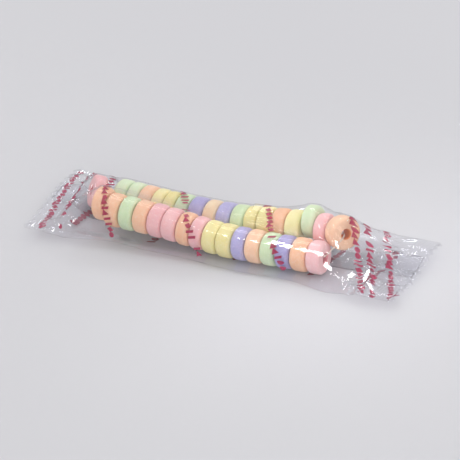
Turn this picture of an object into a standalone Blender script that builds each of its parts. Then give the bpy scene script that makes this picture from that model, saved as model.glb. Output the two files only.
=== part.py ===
"""Candy necklace in its clear flow-wrapped bag, lying flat on a table.

An elastic loop of ring-shaped sugar beads is folded double, so two rows of beads lie side by side
in a clear film bag. The bag is sealed, so it is one closed solid: the film's outer form, with each
bead pressing through it, side wings, and a crimped end seal with a toothed cut at either end.

Metres, +Z up. X runs along the rows, -Y is the front, and the bag rests on its flat underside at
z = 0. The origin is the middle of the underside.
"""
import math

import bmesh
import bpy
from mathutils import Vector

NODE = "wrapped_necklace"
MM = 0.001

# The beads: rings of pressed sugar, 10.4 mm across.
BEAD_RADIUS = 5.2 * MM
BEAD_RIM = 1.3 * MM
BEAD_SIDES = 18
RIM_SEGMENTS = 1
BEAD_OVERLAP = 0.3 * MM

# The two rows: where each starts, and each bead's thickness from left to right. Pressed beads vary.
ROW_SPACING = 10.4 * MM
FRONT_LEFT_X = -38.1 * MM
FRONT_THICKNESSES_MM = (
    4.9, 4.8, 5.0, 4.9, 5.1, 4.5, 4.4, 4.8, 5.2, 4.6, 5.1, 5.0, 5.0, 5.4, 5.0,
)
BACK_LEFT_X = -37.1 * MM
BACK_THICKNESSES_MM = (
    4.3, 4.7, 4.2, 4.2, 4.7, 5.1, 4.7, 5.1, 4.8, 4.5, 4.7, 4.9, 5.1, 4.5, 4.4,
)
SLIPPED_BACK_BEAD = 13
SLIP = Vector((0.0, 1.4, 1.6)) * MM

# The fold of the necklace lifts one row over the other: the front row at the left, the back row at
# the right.
TWIST = math.radians(21.0)
TWIST_REACH = 30.0 * MM
TWIST_BLEND = 0.05
TABLE_GAP = 0.3 * MM
BOW = 0.9 * MM
ROW_END = 40.0 * MM
AXIS_STEP = 0.5 * MM

# The fold at the left: each bead's centre in mm, and its heading and pitch in degrees.
LEFT_TURN = (
    ((-40.8, -5.7, 8.8), 180.0, 0.0),
    ((-48.2, 3.9, 6.6), 34.0, -25.0),
    ((-39.6, 5.8, 5.5), -4.0, 0.0),
)
TURN_THICKNESS = 4.5 * MM
TURN_SPREAD = 0.9 * MM
TURN_SPREAD_START = -16.0 * MM
TURN_SPREAD_FULL = -40.0 * MM

# The raised bead at the right end, turned to show its hole.
END_BEAD_CENTRE = Vector((37.6, 3.0, 10.1)) * MM
END_BEAD_AXIS = Vector((0.82, -0.53, 0.23)).normalized()
END_BEAD_THICKNESS = 5.0 * MM
HOLE_RADIUS = 1.6 * MM
HOLE_DEPTH = 1.4 * MM
HOLE_TAPER = 0.16 * MM
FACE_SHOW = 2.6 * MM

# The bag.
BAG_LENGTH = 128.0 * MM
SEAL_WIDTH = 34.0 * MM
WAIST_WIDTH = 27.0 * MM
SEAL_LENGTH = 8.0 * MM
SEAL_THICKNESS = 0.6 * MM
RIB_DEPTH = 0.18 * MM
RIB_ROWS = 6
TEETH = 12
TOOTH_DEPTH = 1.3 * MM
SINK = 0.8 * MM
VALLEY = 2.2 * MM
VALLEY_LEFT = -50.0 * MM
VALLEY_RIGHT = 37.0 * MM
VALLEY_FADE = 8.0 * MM
BASE_HALF_WIDTH = 6.2 * MM
BASE_LEFT = -48.0 * MM
BASE_RIGHT = 38.0 * MM
WING_LIFT = 0.7 * MM
RAISED_WING_LIFT = 2.4 * MM
LEFT_SEAL_HEIGHT = 4.0 * MM
RIGHT_SEAL_HEIGHT = 2.6 * MM
LEFT_SEAL_WAVE = 0.7 * MM
LEFT_WAVE_TURNS = 3.4
LEFT_WAVE_PHASE = 0.6
RIGHT_SEAL_WAVE = 1.0 * MM
RIGHT_WAVE_TURNS = 4.2
RIGHT_WAVE_PHASE = -0.9
SIDE_CLING = 1.8 * MM
LEFT_TENT = 7.5 * MM
RIGHT_TENT = 17.0 * MM
TENT_SAG = 2.3
SHOULDER = 0.86
CREASE_DEPTH = 0.7 * MM
CREASE_PITCH = 1.9 * MM
CREASE_DRIFT = 8.0 * MM
EDGE_WAVE = 0.45 * MM
EDGE_WAVE_PITCH = 5.3 * MM

# Where the bag changes along its length: the start of each stretch and its reach.
LEFT_FLARE_START = -28.0 * MM
LEFT_FLARE_REACH = 26.0 * MM
RIGHT_FLARE_START = 24.0 * MM
RIGHT_FLARE_REACH = 32.0 * MM
LEFT_TENT_START = -46.0 * MM
LEFT_TENT_BLEND = 5.0 * MM
RIGHT_TENT_START = 33.0 * MM
RIGHT_TENT_BLEND = 10.0 * MM
LEFT_RISE = 8.0 * MM
RIGHT_RISE = 16.0 * MM

# The mesh of the bag: stations along X between the seals, and strips across.
BODY_STATIONS = 34
STRIPS = 2 * TEETH
SHEET_STEP = 1.0 * MM

FILM_COLOUR = (0.86, 0.72, 0.70, 1.0)
FILM_ROUGHNESS = 0.3


def smooth(value):
    """Ease from 0 to 1 as value goes from 0 to 1."""
    value = min(max(value, 0.0), 1.0)
    return value * value * (3.0 - 2.0 * value)


def blend(first, second, share):
    """Value that goes from first to second as share goes from 0 to 1."""
    return first + (second - first) * share


def twist_at(x):
    """Angle by which the pair of rows leans about X: negative lifts the front row."""
    return TWIST * math.tanh(x / TWIST_REACH)


def row_point(side, x):
    """Centre of the front (side -1) or back (side +1) row at x."""
    lean = twist_at(x)
    lift = 0.5 * (side * math.sin(lean) + math.hypot(math.sin(lean), TWIST_BLEND))
    spread = TURN_SPREAD * smooth((TURN_SPREAD_START - x) / (TURN_SPREAD_START - TURN_SPREAD_FULL))
    y = side * (0.5 * ROW_SPACING * math.cos(lean) + spread)
    y -= BOW * (1.0 - (x / ROW_END) ** 2)
    return Vector((x, y, BEAD_RADIUS + TABLE_GAP + ROW_SPACING * lift))


def row_axis(side, x):
    """Direction of the thread along a row at x."""
    return (row_point(side, x + AXIS_STEP) - row_point(side, x - AXIS_STEP)).normalized()


def row_places(side, left_x, thicknesses_mm):
    """Centre, axis and thickness of each bead of a row, from left to right."""
    places = []
    for thickness in thicknesses_mm:
        x = left_x + 0.5 * thickness * MM
        left_x += thickness * MM
        places.append((row_point(side, x), row_axis(side, x), thickness * MM))
    return places


def turn_axis(heading, pitch):
    """Direction of the thread from its heading and pitch in degrees."""
    heading, pitch = math.radians(heading), math.radians(pitch)
    level = math.cos(pitch)
    return Vector((level * math.cos(heading), level * math.sin(heading), math.sin(pitch)))


def bead_places():
    """Centre, axis and thickness of every bead, in the order of the thread from the front right."""
    front = row_places(-1, FRONT_LEFT_X, FRONT_THICKNESSES_MM)
    back = row_places(1, BACK_LEFT_X, BACK_THICKNESSES_MM)
    centre, axis, thickness = back[SLIPPED_BACK_BEAD]
    back[SLIPPED_BACK_BEAD] = (centre + SLIP, axis, thickness)
    turn = [
        (Vector(centre) * MM, turn_axis(heading, pitch), TURN_THICKNESS)
        for centre, heading, pitch in LEFT_TURN
    ]
    end = (END_BEAD_CENTRE, END_BEAD_AXIS, END_BEAD_THICKNESS)
    return front[::-1] + turn + back + [end]


def film_thread(places):
    """The line the film is stretched over: short of both end faces, so that they stay clear."""
    line = [centre for centre, _, _ in places]
    line[0] = line[0] - places[0][1] * FACE_SHOW
    line[-1] = line[-1] - places[-1][1] * FACE_SHOW
    return line


def nearest_on_thread(thread, x, y):
    """Plan distance from (x, y) to the thread, and the thread's height there."""
    best_distance, best_height = None, 0.0
    for start, end in zip(thread, thread[1:]):
        run_x, run_y = end.x - start.x, end.y - start.y
        share = ((x - start.x) * run_x + (y - start.y) * run_y) / (run_x * run_x + run_y * run_y)
        share = min(max(share, 0.0), 1.0)
        distance = math.hypot(x - start.x - share * run_x, y - start.y - share * run_y)
        if best_distance is None or distance < best_distance:
            best_distance, best_height = distance, blend(start.z, end.z, share)
    return best_distance, best_height


def half_width(x):
    """Half the bag's width at x: waisted along the rows, full width at the seals."""
    left = smooth((LEFT_FLARE_START - x) / LEFT_FLARE_REACH)
    right = smooth((x - RIGHT_FLARE_START) / RIGHT_FLARE_REACH)
    flare = max(left, right)
    ripple = EDGE_WAVE * (1.0 - flare) * math.sin(x / EDGE_WAVE_PITCH)
    return 0.5 * blend(WAIST_WIDTH, SEAL_WIDTH, flare) + ripple


def seal_height(x, y):
    """Height of the film's lower face where it rises off the table to a seal."""
    across = y / (0.5 * SEAL_WIDTH)
    if x < 0.0:
        return LEFT_SEAL_HEIGHT + LEFT_SEAL_WAVE * math.sin(LEFT_WAVE_TURNS * across + LEFT_WAVE_PHASE)
    return RIGHT_SEAL_HEIGHT + RIGHT_SEAL_WAVE * math.sin(RIGHT_WAVE_TURNS * across + RIGHT_WAVE_PHASE)


def film_bottom(x, y):
    """Lower face of the bag: flat under the rows, lifted along the wings and at the seals."""
    side = 1 if y > 0.0 else -1
    across = smooth((abs(y) - BASE_HALF_WIDTH) / (half_width(x) - BASE_HALF_WIDTH))
    raised = smooth(side * x / ROW_END)
    wing = across * blend(WING_LIFT, RAISED_WING_LIFT, raised)
    left = smooth((BASE_LEFT - x) / LEFT_RISE)
    right = smooth((x - BASE_RIGHT) / RIGHT_RISE)
    return blend(wing, seal_height(x, y), max(left, right))


def tent_reach(x):
    """Distance over which the film falls from the beads to the wing: long towards the seals."""
    left = smooth((LEFT_TENT_START - x) / LEFT_TENT_BLEND)
    right = smooth((x - RIGHT_TENT_START) / RIGHT_TENT_BLEND)
    return SIDE_CLING + left * (LEFT_TENT - SIDE_CLING) + right * (RIGHT_TENT - SIDE_CLING)


def film_top(thread, x, y):
    """Upper face of the bag: sunk a little below the beads, so that each one shows."""
    floor = film_bottom(x, y) + SEAL_THICKNESS
    radius = BEAD_RADIUS - SINK
    distance, height = nearest_on_thread(thread, x, y)
    shoulder = SHOULDER * radius
    if distance < shoulder:
        top = height + math.sqrt(radius * radius - distance * distance)
    else:
        reach = tent_reach(x)
        fall = min((distance - shoulder) / reach, 1.0)
        start = height + math.sqrt(radius * radius - shoulder * shoulder)
        top = blend(floor, start, (1.0 - fall) ** TENT_SAG)
        crease = math.sin(math.pi * fall) * math.sin(y / CREASE_PITCH + x / CREASE_DRIFT)
        top += CREASE_DEPTH * crease * smooth((reach - SIDE_CLING) / (LEFT_TENT - SIDE_CLING))
    front, back = row_point(-1, x), row_point(1, x)
    share = (y - front.y) / (back.y - front.y)
    between = smooth((x - VALLEY_LEFT) / VALLEY_FADE) * smooth((VALLEY_RIGHT - x) / VALLEY_FADE)
    if 0.0 < share < 1.0 and between > 0.0:
        sag = VALLEY * (1.0 - (2.0 * share - 1.0) ** 2)
        bridge = blend(front.z, back.z, share) + radius - sag
        top = max(top, blend(floor, bridge, between))
    return max(top, floor)


def station_positions():
    """X of every cross-section, from the left cut edge to the right one."""
    half = 0.5 * BAG_LENGTH
    seal = [half - SEAL_LENGTH * row / RIB_ROWS for row in range(RIB_ROWS + 1)]
    inner = half - SEAL_LENGTH
    body = [blend(-inner, inner, row / BODY_STATIONS) for row in range(1, BODY_STATIONS)]
    return [-x for x in seal] + body + list(reversed(seal))


def make_bag(thread):
    """The film's outer form: two grids, bridged round their edge and shaped by the film's height."""
    stations = station_positions()
    last = len(stations) - 1
    mesh = bmesh.new()
    bmesh.ops.create_grid(mesh, x_segments=last, y_segments=STRIPS, size=0.5)
    upper = set(mesh.verts)
    copied = bmesh.ops.duplicate(mesh, geom=mesh.verts[:] + mesh.edges[:] + mesh.faces[:])["geom"]
    lower = [item for item in copied if isinstance(item, bmesh.types.BMVert)]
    bmesh.ops.reverse_faces(mesh, faces=[item for item in copied if isinstance(item, bmesh.types.BMFace)])
    bmesh.ops.translate(mesh, verts=lower, vec=(0.0, 0.0, -SHEET_STEP))
    bmesh.ops.bridge_loops(mesh, edges=[edge for edge in mesh.edges if edge.is_boundary])
    for vert in mesh.verts:
        station = round((vert.co.x + 0.5) * last)
        strip = round((vert.co.y + 0.5) * STRIPS)
        x = stations[station]
        y = half_width(x) * (2.0 * strip / STRIPS - 1.0)
        z = film_top(thread, x, y) if vert in upper else film_bottom(x, y)
        if station <= RIB_ROWS or station >= last - RIB_ROWS:
            rib = RIB_DEPTH if station % 2 else -RIB_DEPTH
            z += rib
        if station in (0, last) and strip % 2:
            x -= math.copysign(TOOTH_DEPTH, x)
        vert.co = Vector((x, y, z))
    bmesh.ops.triangulate(mesh, faces=mesh.faces[:])
    bmesh.ops.recalc_face_normals(mesh, faces=mesh.faces[:])
    return mesh


def sink_hole(mesh):
    """Sink the thread's hole into the outward cap of a bead whose axis is still Z."""
    cap = max(mesh.faces, key=lambda face: face.calc_center_median().z)
    flat = BEAD_RADIUS - BEAD_RIM
    bmesh.ops.inset_individual(mesh, faces=[cap], thickness=flat - HOLE_RADIUS)
    bmesh.ops.inset_individual(mesh, faces=[cap], thickness=HOLE_TAPER, depth=-HOLE_DEPTH)


def make_bead(centre, axis, thickness, open_hole):
    """One bead as a solid disc with a bevelled rim, its axis along the thread."""
    mesh = bmesh.new()
    bmesh.ops.create_cone(
        mesh, cap_ends=True, segments=BEAD_SIDES,
        radius1=BEAD_RADIUS, radius2=BEAD_RADIUS, depth=thickness + BEAD_OVERLAP,
    )
    rim = [edge for edge in mesh.edges if any(len(face.verts) > 4 for face in edge.link_faces)]
    bmesh.ops.bevel(
        mesh, geom=rim, offset=BEAD_RIM, offset_type="OFFSET", segments=RIM_SEGMENTS,
        profile=0.5, affect="EDGES", material=-1,
    )
    if open_hole:
        sink_hole(mesh)
    turn = axis.to_track_quat("Z", "Y").to_matrix().to_4x4()
    bmesh.ops.transform(mesh, matrix=turn, verts=mesh.verts)
    bmesh.ops.translate(mesh, verts=mesh.verts, vec=centre)
    return mesh


def link_mesh(mesh, name, collection):
    """Put a bmesh into the scene as a named object in a collection."""
    data = bpy.data.meshes.new(name)
    mesh.to_mesh(data)
    mesh.free()
    made = bpy.data.objects.new(name, data)
    collection.objects.link(made)
    return made


def join_beads(bag, beads):
    """Fuse every bead of a collection to the bag, then remove the loose beads."""
    union = bag.modifiers.new("beads", "BOOLEAN")
    union.operation = "UNION"
    union.operand_type = "COLLECTION"
    union.collection = beads
    union.solver = "EXACT"
    graph = bpy.context.evaluated_depsgraph_get()
    fused = bpy.data.meshes.new_from_object(bag.evaluated_get(graph))
    bag.modifiers.clear()
    bag.data = fused
    for bead in list(beads.objects):
        bpy.data.objects.remove(bead)
    bpy.data.collections.remove(beads)


def film_material():
    """Glossy film over pale candy, as one opaque colour."""
    material = bpy.data.materials.new("clear_film_over_candy")
    material.use_nodes = True
    shader = material.node_tree.nodes["Principled BSDF"]
    shader.inputs["Base Color"].default_value = FILM_COLOUR
    shader.inputs["Roughness"].default_value = FILM_ROUGHNESS
    shader.inputs["Metallic"].default_value = 0.0
    return material


def new_collection(name):
    """A named collection in the scene."""
    made = bpy.data.collections.new(name)
    bpy.context.scene.collection.children.link(made)
    return made


def main():
    """Build the bag, fuse the beads to it and give the one solid its material."""
    for leftover in list(bpy.data.objects):
        bpy.data.objects.remove(leftover)
    places = bead_places()
    bag = link_mesh(make_bag(film_thread(places)), NODE, new_collection("candy_necklace"))
    beads = new_collection("beads")
    for number, (centre, axis, thickness) in enumerate(places, 1):
        bead = make_bead(centre, axis, thickness, open_hole=number == len(places))
        link_mesh(bead, f"bead_{number:02d}", beads)
    join_beads(bag, beads)
    bag.data.materials.clear()
    bag.data.materials.append(film_material())


main()
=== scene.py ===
"""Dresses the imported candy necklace: sugar beads on elastic thread, sealed in clear printed film.

Metres, +Z up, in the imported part's frame. X runs along the rows of beads, -Y is the front, and the
bag lies on the floor at z = 0. Lengths are written as millimetres times MM, or as plain millimetres
where a name or a docstring says so.
"""

import logging
import math
import random
from dataclasses import dataclass, field, replace
from enum import Enum
from typing import Any, Iterable, Optional, Union

import bmesh
import bpy
import numpy as np
from mathutils import Matrix, Quaternion, Vector, noise
from mathutils.bvhtree import BVHTree

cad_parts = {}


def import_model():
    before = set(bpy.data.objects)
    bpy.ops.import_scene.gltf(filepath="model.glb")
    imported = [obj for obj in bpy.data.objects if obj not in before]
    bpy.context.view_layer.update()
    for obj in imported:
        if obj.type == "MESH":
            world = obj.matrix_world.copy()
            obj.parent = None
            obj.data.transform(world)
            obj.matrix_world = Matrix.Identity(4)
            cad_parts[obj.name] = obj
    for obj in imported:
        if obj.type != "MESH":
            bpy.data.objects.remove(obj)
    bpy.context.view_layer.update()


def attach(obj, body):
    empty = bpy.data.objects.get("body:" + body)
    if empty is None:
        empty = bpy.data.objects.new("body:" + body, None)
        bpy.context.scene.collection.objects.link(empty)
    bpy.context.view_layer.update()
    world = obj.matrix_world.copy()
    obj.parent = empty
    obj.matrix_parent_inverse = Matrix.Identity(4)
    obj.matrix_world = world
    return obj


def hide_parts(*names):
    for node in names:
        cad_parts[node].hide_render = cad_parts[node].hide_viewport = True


MM = 0.001
BODY = "root"
NODE = "wrapped_necklace"
# A height, in metres, that nothing here reaches.
FAR = 1.0
Number = Union[float, np.ndarray]

log = logging.getLogger("candy_necklace")


def smooth(value: Number) -> Number:
    """Ease from 0 to 1 as value goes from 0 to 1, and hold it there beyond."""
    held = np.clip(value, 0.0, 1.0)
    return held * held * (3.0 - 2.0 * held)


def blend(first: Number, second: Number, share: Number) -> Number:
    """Mix two values: the first at share 0, the second at share 1."""
    return first + (second - first) * share


def linear_colour(hex_value: str, alpha: float = 1.0) -> tuple[float, float, float, float]:
    """Turn an sRGB hex colour into the linear colour that shaders take.

    Args:
        hex_value: six hex digits, such as "F0A3AB".
        alpha: the fourth channel.

    Returns:
        Red, green, blue and alpha, linear.
    """
    channels = [int(hex_value[start:start + 2], 16) / 255.0 for start in (0, 2, 4)]
    linear = [c / 12.92 if c <= 0.04045 else ((c + 0.055) / 1.055) ** 2.4 for c in channels]
    return (linear[0], linear[1], linear[2], alpha)


Socket = bpy.types.NodeSocket
Colour = Union[str, Socket]

# The colour mix node's sockets by number, because those of its other data types have the same names.
MIX_SHARE, MIX_FIRST, MIX_SECOND = 0, 6, 7
MIX_RESULT = 2


def add_node(
    tree: bpy.types.NodeTree,
    kind: str,
    inputs: Optional[dict[Any, Any]] = None,
    settings: Optional[dict[str, Any]] = None,
) -> bpy.types.Node:
    """Add a shader node with its inputs and settings.

    Args:
        tree: the node tree that takes it.
        kind: the node's type name.
        inputs: by input name or number, a value to set or an output socket to link.
        settings: properties of the node itself.

    Returns:
        The new node.
    """
    node = tree.nodes.new(kind)
    for name, setting in (settings or {}).items():
        setattr(node, name, setting)
    for key, source in (inputs or {}).items():
        if isinstance(source, Socket):
            tree.links.new(source, node.inputs[key])
        else:
            node.inputs[key].default_value = source
    return node


class MaterialMaker:
    """A new material, and the steps that the finishes share. Each step gives a socket to link."""

    def __init__(self, name: str) -> None:
        """Start a material of this name with an empty tree."""
        self.material = bpy.data.materials.new(name)
        self.material.use_nodes = True
        self.tree = self.material.node_tree
        self.tree.nodes.clear()
        self.output = add_node(self.tree, "ShaderNodeOutputMaterial")
        self.place = add_node(self.tree, "ShaderNodeTexCoord").outputs["Object"]

    def attribute(self, name: str) -> Socket:
        """Read a value that each vertex of the mesh carries."""
        settings = {"attribute_name": name}
        return add_node(self.tree, "ShaderNodeAttribute", settings=settings).outputs["Fac"]

    def noise(
        self, size: float, detail: float = 2.0, roughness: float = 0.5, distortion: float = 0.0,
    ) -> Socket:
        """Add noise with lumps of a size, its finer layers and how far they are warped."""
        inputs = {
            "Vector": self.place, "Scale": 1.0 / size, "Detail": detail,
            "Roughness": roughness, "Distortion": distortion,
        }
        return add_node(self.tree, "ShaderNodeTexNoise", inputs).outputs["Fac"]

    def specks(self, size: float) -> Socket:
        """Give the distance to the nearest of many scattered points, in cells of a size."""
        inputs = {"Vector": self.place, "Scale": 1.0 / size}
        return add_node(self.tree, "ShaderNodeTexVoronoi", inputs).outputs["Distance"]

    def calculate(self, operation: str, *terms: Union[float, Socket], clamp: bool = False) -> Socket:
        """Work out one value from numbers and sockets, held between 0 and 1 where clamp says so."""
        settings = {"operation": operation, "use_clamp": clamp}
        return add_node(self.tree, "ShaderNodeMath", dict(enumerate(terms)), settings).outputs[0]

    def rescale(self, value: Socket, start: tuple[float, float], end: tuple[float, float]) -> Socket:
        """Carry a value from the start range to the end range, and hold it there."""
        inputs = {
            "Value": value, "From Min": start[0], "From Max": start[1], "To Min": end[0], "To Max": end[1],
        }
        return add_node(self.tree, "ShaderNodeMapRange", inputs).outputs["Result"]

    def mix(self, share: Socket, first: Colour, second: Colour) -> Socket:
        """Mix two colours, each a socket or sRGB hex: the first at share 0, the second at share 1."""
        first, second = (linear_colour(hue) if isinstance(hue, str) else hue for hue in (first, second))
        inputs = {MIX_SHARE: share, MIX_FIRST: first, MIX_SECOND: second}
        return add_node(self.tree, "ShaderNodeMix", inputs, {"data_type": "RGBA"}).outputs[MIX_RESULT]

    def bump(self, height: Socket, strength: float, depth: float) -> Socket:
        """Tilt the normals as a relief of this depth would, with a strength from 0 to 1."""
        inputs = {"Height": height, "Strength": strength, "Distance": depth}
        return add_node(self.tree, "ShaderNodeBump", inputs).outputs["Normal"]

    def shader(self, kind: str, inputs: dict[Any, Any]) -> Socket:
        """Add a shader by its node's type name and give its output."""
        return add_node(self.tree, kind, inputs).outputs[0]

    def finish(self, surface: Socket) -> bpy.types.Material:
        """Join the last shader to the output and give the material."""
        self.tree.links.new(surface, self.output.inputs["Surface"])
        return self.material


def link_piece(mesh: bmesh.types.BMesh, name: str, material: bpy.types.Material) -> bpy.types.Object:
    """Put a bmesh into the scene as a smooth-shaded object at the origin.

    Args:
        mesh: the bmesh, which is freed.
        name: the object's name.
        material: its one material.

    Returns:
        The new object.
    """
    data = bpy.data.meshes.new(name)
    mesh.to_mesh(data)
    mesh.free()
    data.shade_smooth()
    data.materials.append(material)
    piece = bpy.data.objects.new(name, data)
    bpy.context.scene.collection.objects.link(piece)
    return piece


def dress(piece: bpy.types.Object, stands_for: bool = False) -> bpy.types.Object:
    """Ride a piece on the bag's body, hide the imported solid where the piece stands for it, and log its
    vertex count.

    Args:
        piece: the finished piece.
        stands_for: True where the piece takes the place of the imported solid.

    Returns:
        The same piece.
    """
    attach(piece, BODY)
    if stands_for:
        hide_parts(NODE)
    log.info("%s: %d vertices", piece.name, len(piece.data.vertices))
    return piece


class Flavour(Enum):
    """The colours of sugar, each by the letter that the bead rows use."""

    PINK = "P"
    ORANGE = "O"
    YELLOW = "Y"
    GREEN = "G"
    LAVENDER = "L"
    CREAM = "C"


@dataclass(frozen=True)
class PressedSugar:
    """Pressed dextrose with food colour: chalky, pastel and a little translucent, with fine grains."""

    flavour: Flavour
    base: str
    deep: str
    # The darker, fuller colour of the hole's wall: painted shade inside the hole.
    bore_shade: str
    powder: str = "FFFBF4"
    mottle: float = 2.6 * MM
    mottle_gain: float = 0.9
    mottle_start: float = -0.1
    grain: float = 0.42 * MM
    grain_height: float = 0.05 * MM
    powder_band: tuple[float, float] = (0.52, 0.74)
    powder_share: float = 0.35
    speck: float = 0.55 * MM
    pit_band: tuple[float, float] = (0.08, 0.2)
    pit_share: float = 0.45
    roughness: float = 0.72
    glow: float = 0.35
    glow_reach: float = 0.9 * MM

    def material(self) -> bpy.types.Material:
        """Build the sugar's material.

        Returns:
            A material whose colour drifts between base and deep with the mottle and each bead's own
            shade. The wall of the hole is painted in the bore's darker, fuller colour, as painted shade
            for the inside of the hole. Real grains are near 0.15 mm: they are drawn at 0.4 mm, so that
            they show.
        """
        maker = MaterialMaker(f"pressed_sugar_{self.flavour.name.lower()}")
        mottle = maker.noise(self.mottle, detail=3.0, roughness=0.6)
        grain = maker.noise(self.grain, roughness=0.7)
        drift = maker.calculate("MULTIPLY_ADD", mottle, self.mottle_gain, self.mottle_start)
        depth = maker.calculate("ADD", drift, maker.attribute("bead_shade"), clamp=True)
        colour = maker.mix(depth, self.base, self.deep)
        powder = maker.rescale(grain, self.powder_band, (0.0, self.powder_share))
        colour = maker.mix(powder, colour, self.powder)
        pit = maker.rescale(maker.specks(self.speck), self.pit_band, (self.pit_share, 0.0))
        colour = maker.mix(pit, colour, self.deep)
        # Painted shade: the wall of the hole takes the darker bore colour.
        colour = maker.mix(maker.attribute("bead_bore_shade"), colour, self.bore_shade)
        return maker.finish(maker.shader("ShaderNodeBsdfPrincipled", {
            "Base Color": colour, "Normal": maker.bump(grain, 0.5, self.grain_height),
            "Roughness": self.roughness, "IOR": 1.45, "Subsurface Weight": self.glow,
            "Subsurface Radius": (1.0, 0.7, 0.5), "Subsurface Scale": self.glow_reach,
        }))


# Each sugar: its base colour, its deep colour, and a darker colour painted on the hole's wall as shade.
SUGARS = (
    PressedSugar(Flavour.PINK, "F1C2C2", "E6A6A9", "DC8289"),
    PressedSugar(Flavour.ORANGE, "F5CAA9", "ECB087", "E28447"),
    PressedSugar(Flavour.YELLOW, "EFE6AC", "E2D384", "D6BE58"),
    PressedSugar(Flavour.GREEN, "DCEAC7", "C2D7A9", "A4C07F"),
    PressedSugar(Flavour.LAVENDER, "B6B0D8", "9A93C6", "7E76B2"),
    PressedSugar(Flavour.CREAM, "F3DEC0", "E6C69C", "DAAA70"),
)


@dataclass(frozen=True)
class FlexoInk:
    """Dark red flexo ink on film: thin, a little see-through, with the film's own gloss over it."""

    colour: str = "8E1F40"
    thin_colour: str = "A8365A"
    starve: float = 0.5 * MM
    roughness: float = 0.12
    cover: float = 0.86

    def material(self) -> bpy.types.Material:
        """Build the ink's material.

        Returns:
            A material of one even layer, with small clouds where the ink is thinner.
        """
        maker = MaterialMaker("flexo_ink_dark_red")
        tint = maker.mix(maker.noise(self.starve), self.colour, self.thin_colour)
        return maker.finish(maker.shader("ShaderNodeBsdfPrincipled", {
            "Base Color": tint, "Roughness": self.roughness, "IOR": 1.5, "Alpha": self.cover,
        }))


@dataclass(frozen=True)
class ClearFilm:
    """Oriented polypropylene film, cast clear and stretched: glossy, crisp in its creases, hardly hazy."""

    tint: str = "FCFCFE"
    veil: str = "F2EFF3"
    haze: float = 0.02
    roughness: float = 0.08
    crinkle: float = 3.0 * MM
    crinkle_strength: float = 0.55
    crinkle_height: float = 0.07 * MM
    mirror_ahead: float = 0.06
    grazing_power: float = 4.5

    def material(self) -> bpy.types.Material:
        """Build the film's material.

        Returns:
            A see-through material that mirrors 6% of the light straight ahead and more towards
            grazing, with a trace of haze and a crinkle too fine for the mesh where the film is loose.
        """
        maker = MaterialMaker("oriented_polypropylene_film")
        crinkle = maker.noise(self.crinkle, detail=1.0, roughness=0.4, distortion=0.5)
        loose = maker.calculate("MULTIPLY", crinkle, maker.attribute("film_slack"))
        relief = maker.bump(loose, self.crinkle_strength, self.crinkle_height)
        weight = add_node(maker.tree, "ShaderNodeLayerWeight", {"Blend": 0.5, "Normal": relief})
        grazing = maker.calculate("POWER", weight.outputs["Facing"], self.grazing_power)
        ahead = self.mirror_ahead
        mirror = maker.calculate("MULTIPLY_ADD", grazing, 1.0 - ahead, ahead, clamp=True)
        clear = maker.shader("ShaderNodeBsdfTransparent", {"Color": linear_colour(self.tint)})
        dust = {"Color": linear_colour(self.veil), "Normal": relief}
        hazy = maker.shader("ShaderNodeMixShader", {
            0: self.haze, 1: clear, 2: maker.shader("ShaderNodeBsdfDiffuse", dust),
        })
        gloss = maker.shader("ShaderNodeBsdfGlossy", {"Roughness": self.roughness, "Normal": relief})
        return maker.finish(maker.shader("ShaderNodeMixShader", {0: mirror, 1: hazy, 2: gloss}))


@dataclass(frozen=True)
class CoveredElastic:
    """Rubber thread wound with white polyester: soft, matt and finely ribbed. Its off-white colour is
    partly sugar dust and partly painted shade, darkened for the thread where it lies in the shade at the
    hole.
    """

    # Off-white, darkened and warmed: partly sugar dust, partly painted shade.
    colour: str = "E6D6C9"
    # A darker tone mixed in along the winding: painted shade for its grooves.
    groove_shade_colour: str = "CDB9A9"
    winding: float = 0.3 * MM
    winding_height: float = 0.05 * MM
    roughness: float = 0.8

    def material(self) -> bpy.types.Material:
        """Build the thread's material.

        Returns:
            A matt material with its fine winding as relief, and as a darker tone that is painted shade for
            the winding's grooves.
        """
        maker = MaterialMaker("covered_elastic_dusted_and_shaded")
        winding = maker.noise(self.winding, detail=1.0)
        return maker.finish(maker.shader("ShaderNodeBsdfPrincipled", {
            "Base Color": maker.mix(winding, self.colour, self.groove_shade_colour),
            "Normal": maker.bump(winding, 0.4, self.winding_height),
            "Roughness": self.roughness, "IOR": 1.5,
        }))


@dataclass(frozen=True)
class PaleFloor:
    """Matt studio paper, pale grey, with the faintest drift in tone."""

    colour: str = "C4C4C9"
    pale_colour: str = "CACACE"
    drift: float = 1.0 / 3.0
    roughness: float = 0.9

    def material(self) -> bpy.types.Material:
        """Build the paper's material.

        Returns:
            A matt material.
        """
        maker = MaterialMaker("matt_studio_paper")
        return maker.finish(maker.shader("ShaderNodeBsdfPrincipled", {
            "Base Color": maker.mix(maker.noise(self.drift), self.colour, self.pale_colour),
            "Roughness": self.roughness, "Specular IOR Level": 0.2,
        }))


@dataclass(frozen=True)
class BeadPlace:
    """Where one bead sits on the thread, and what it is made of."""

    centre: Vector
    axis: Vector
    thickness: float
    flavour: Flavour

    def matrix(self, wobble: Quaternion) -> Matrix:
        """Give the transform that brings a ring about Z here, turned by its wobble first."""
        turn = self.axis.to_track_quat("Z", "Y") @ wobble
        return Matrix.Translation(self.centre) @ turn.to_matrix().to_4x4()


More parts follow.
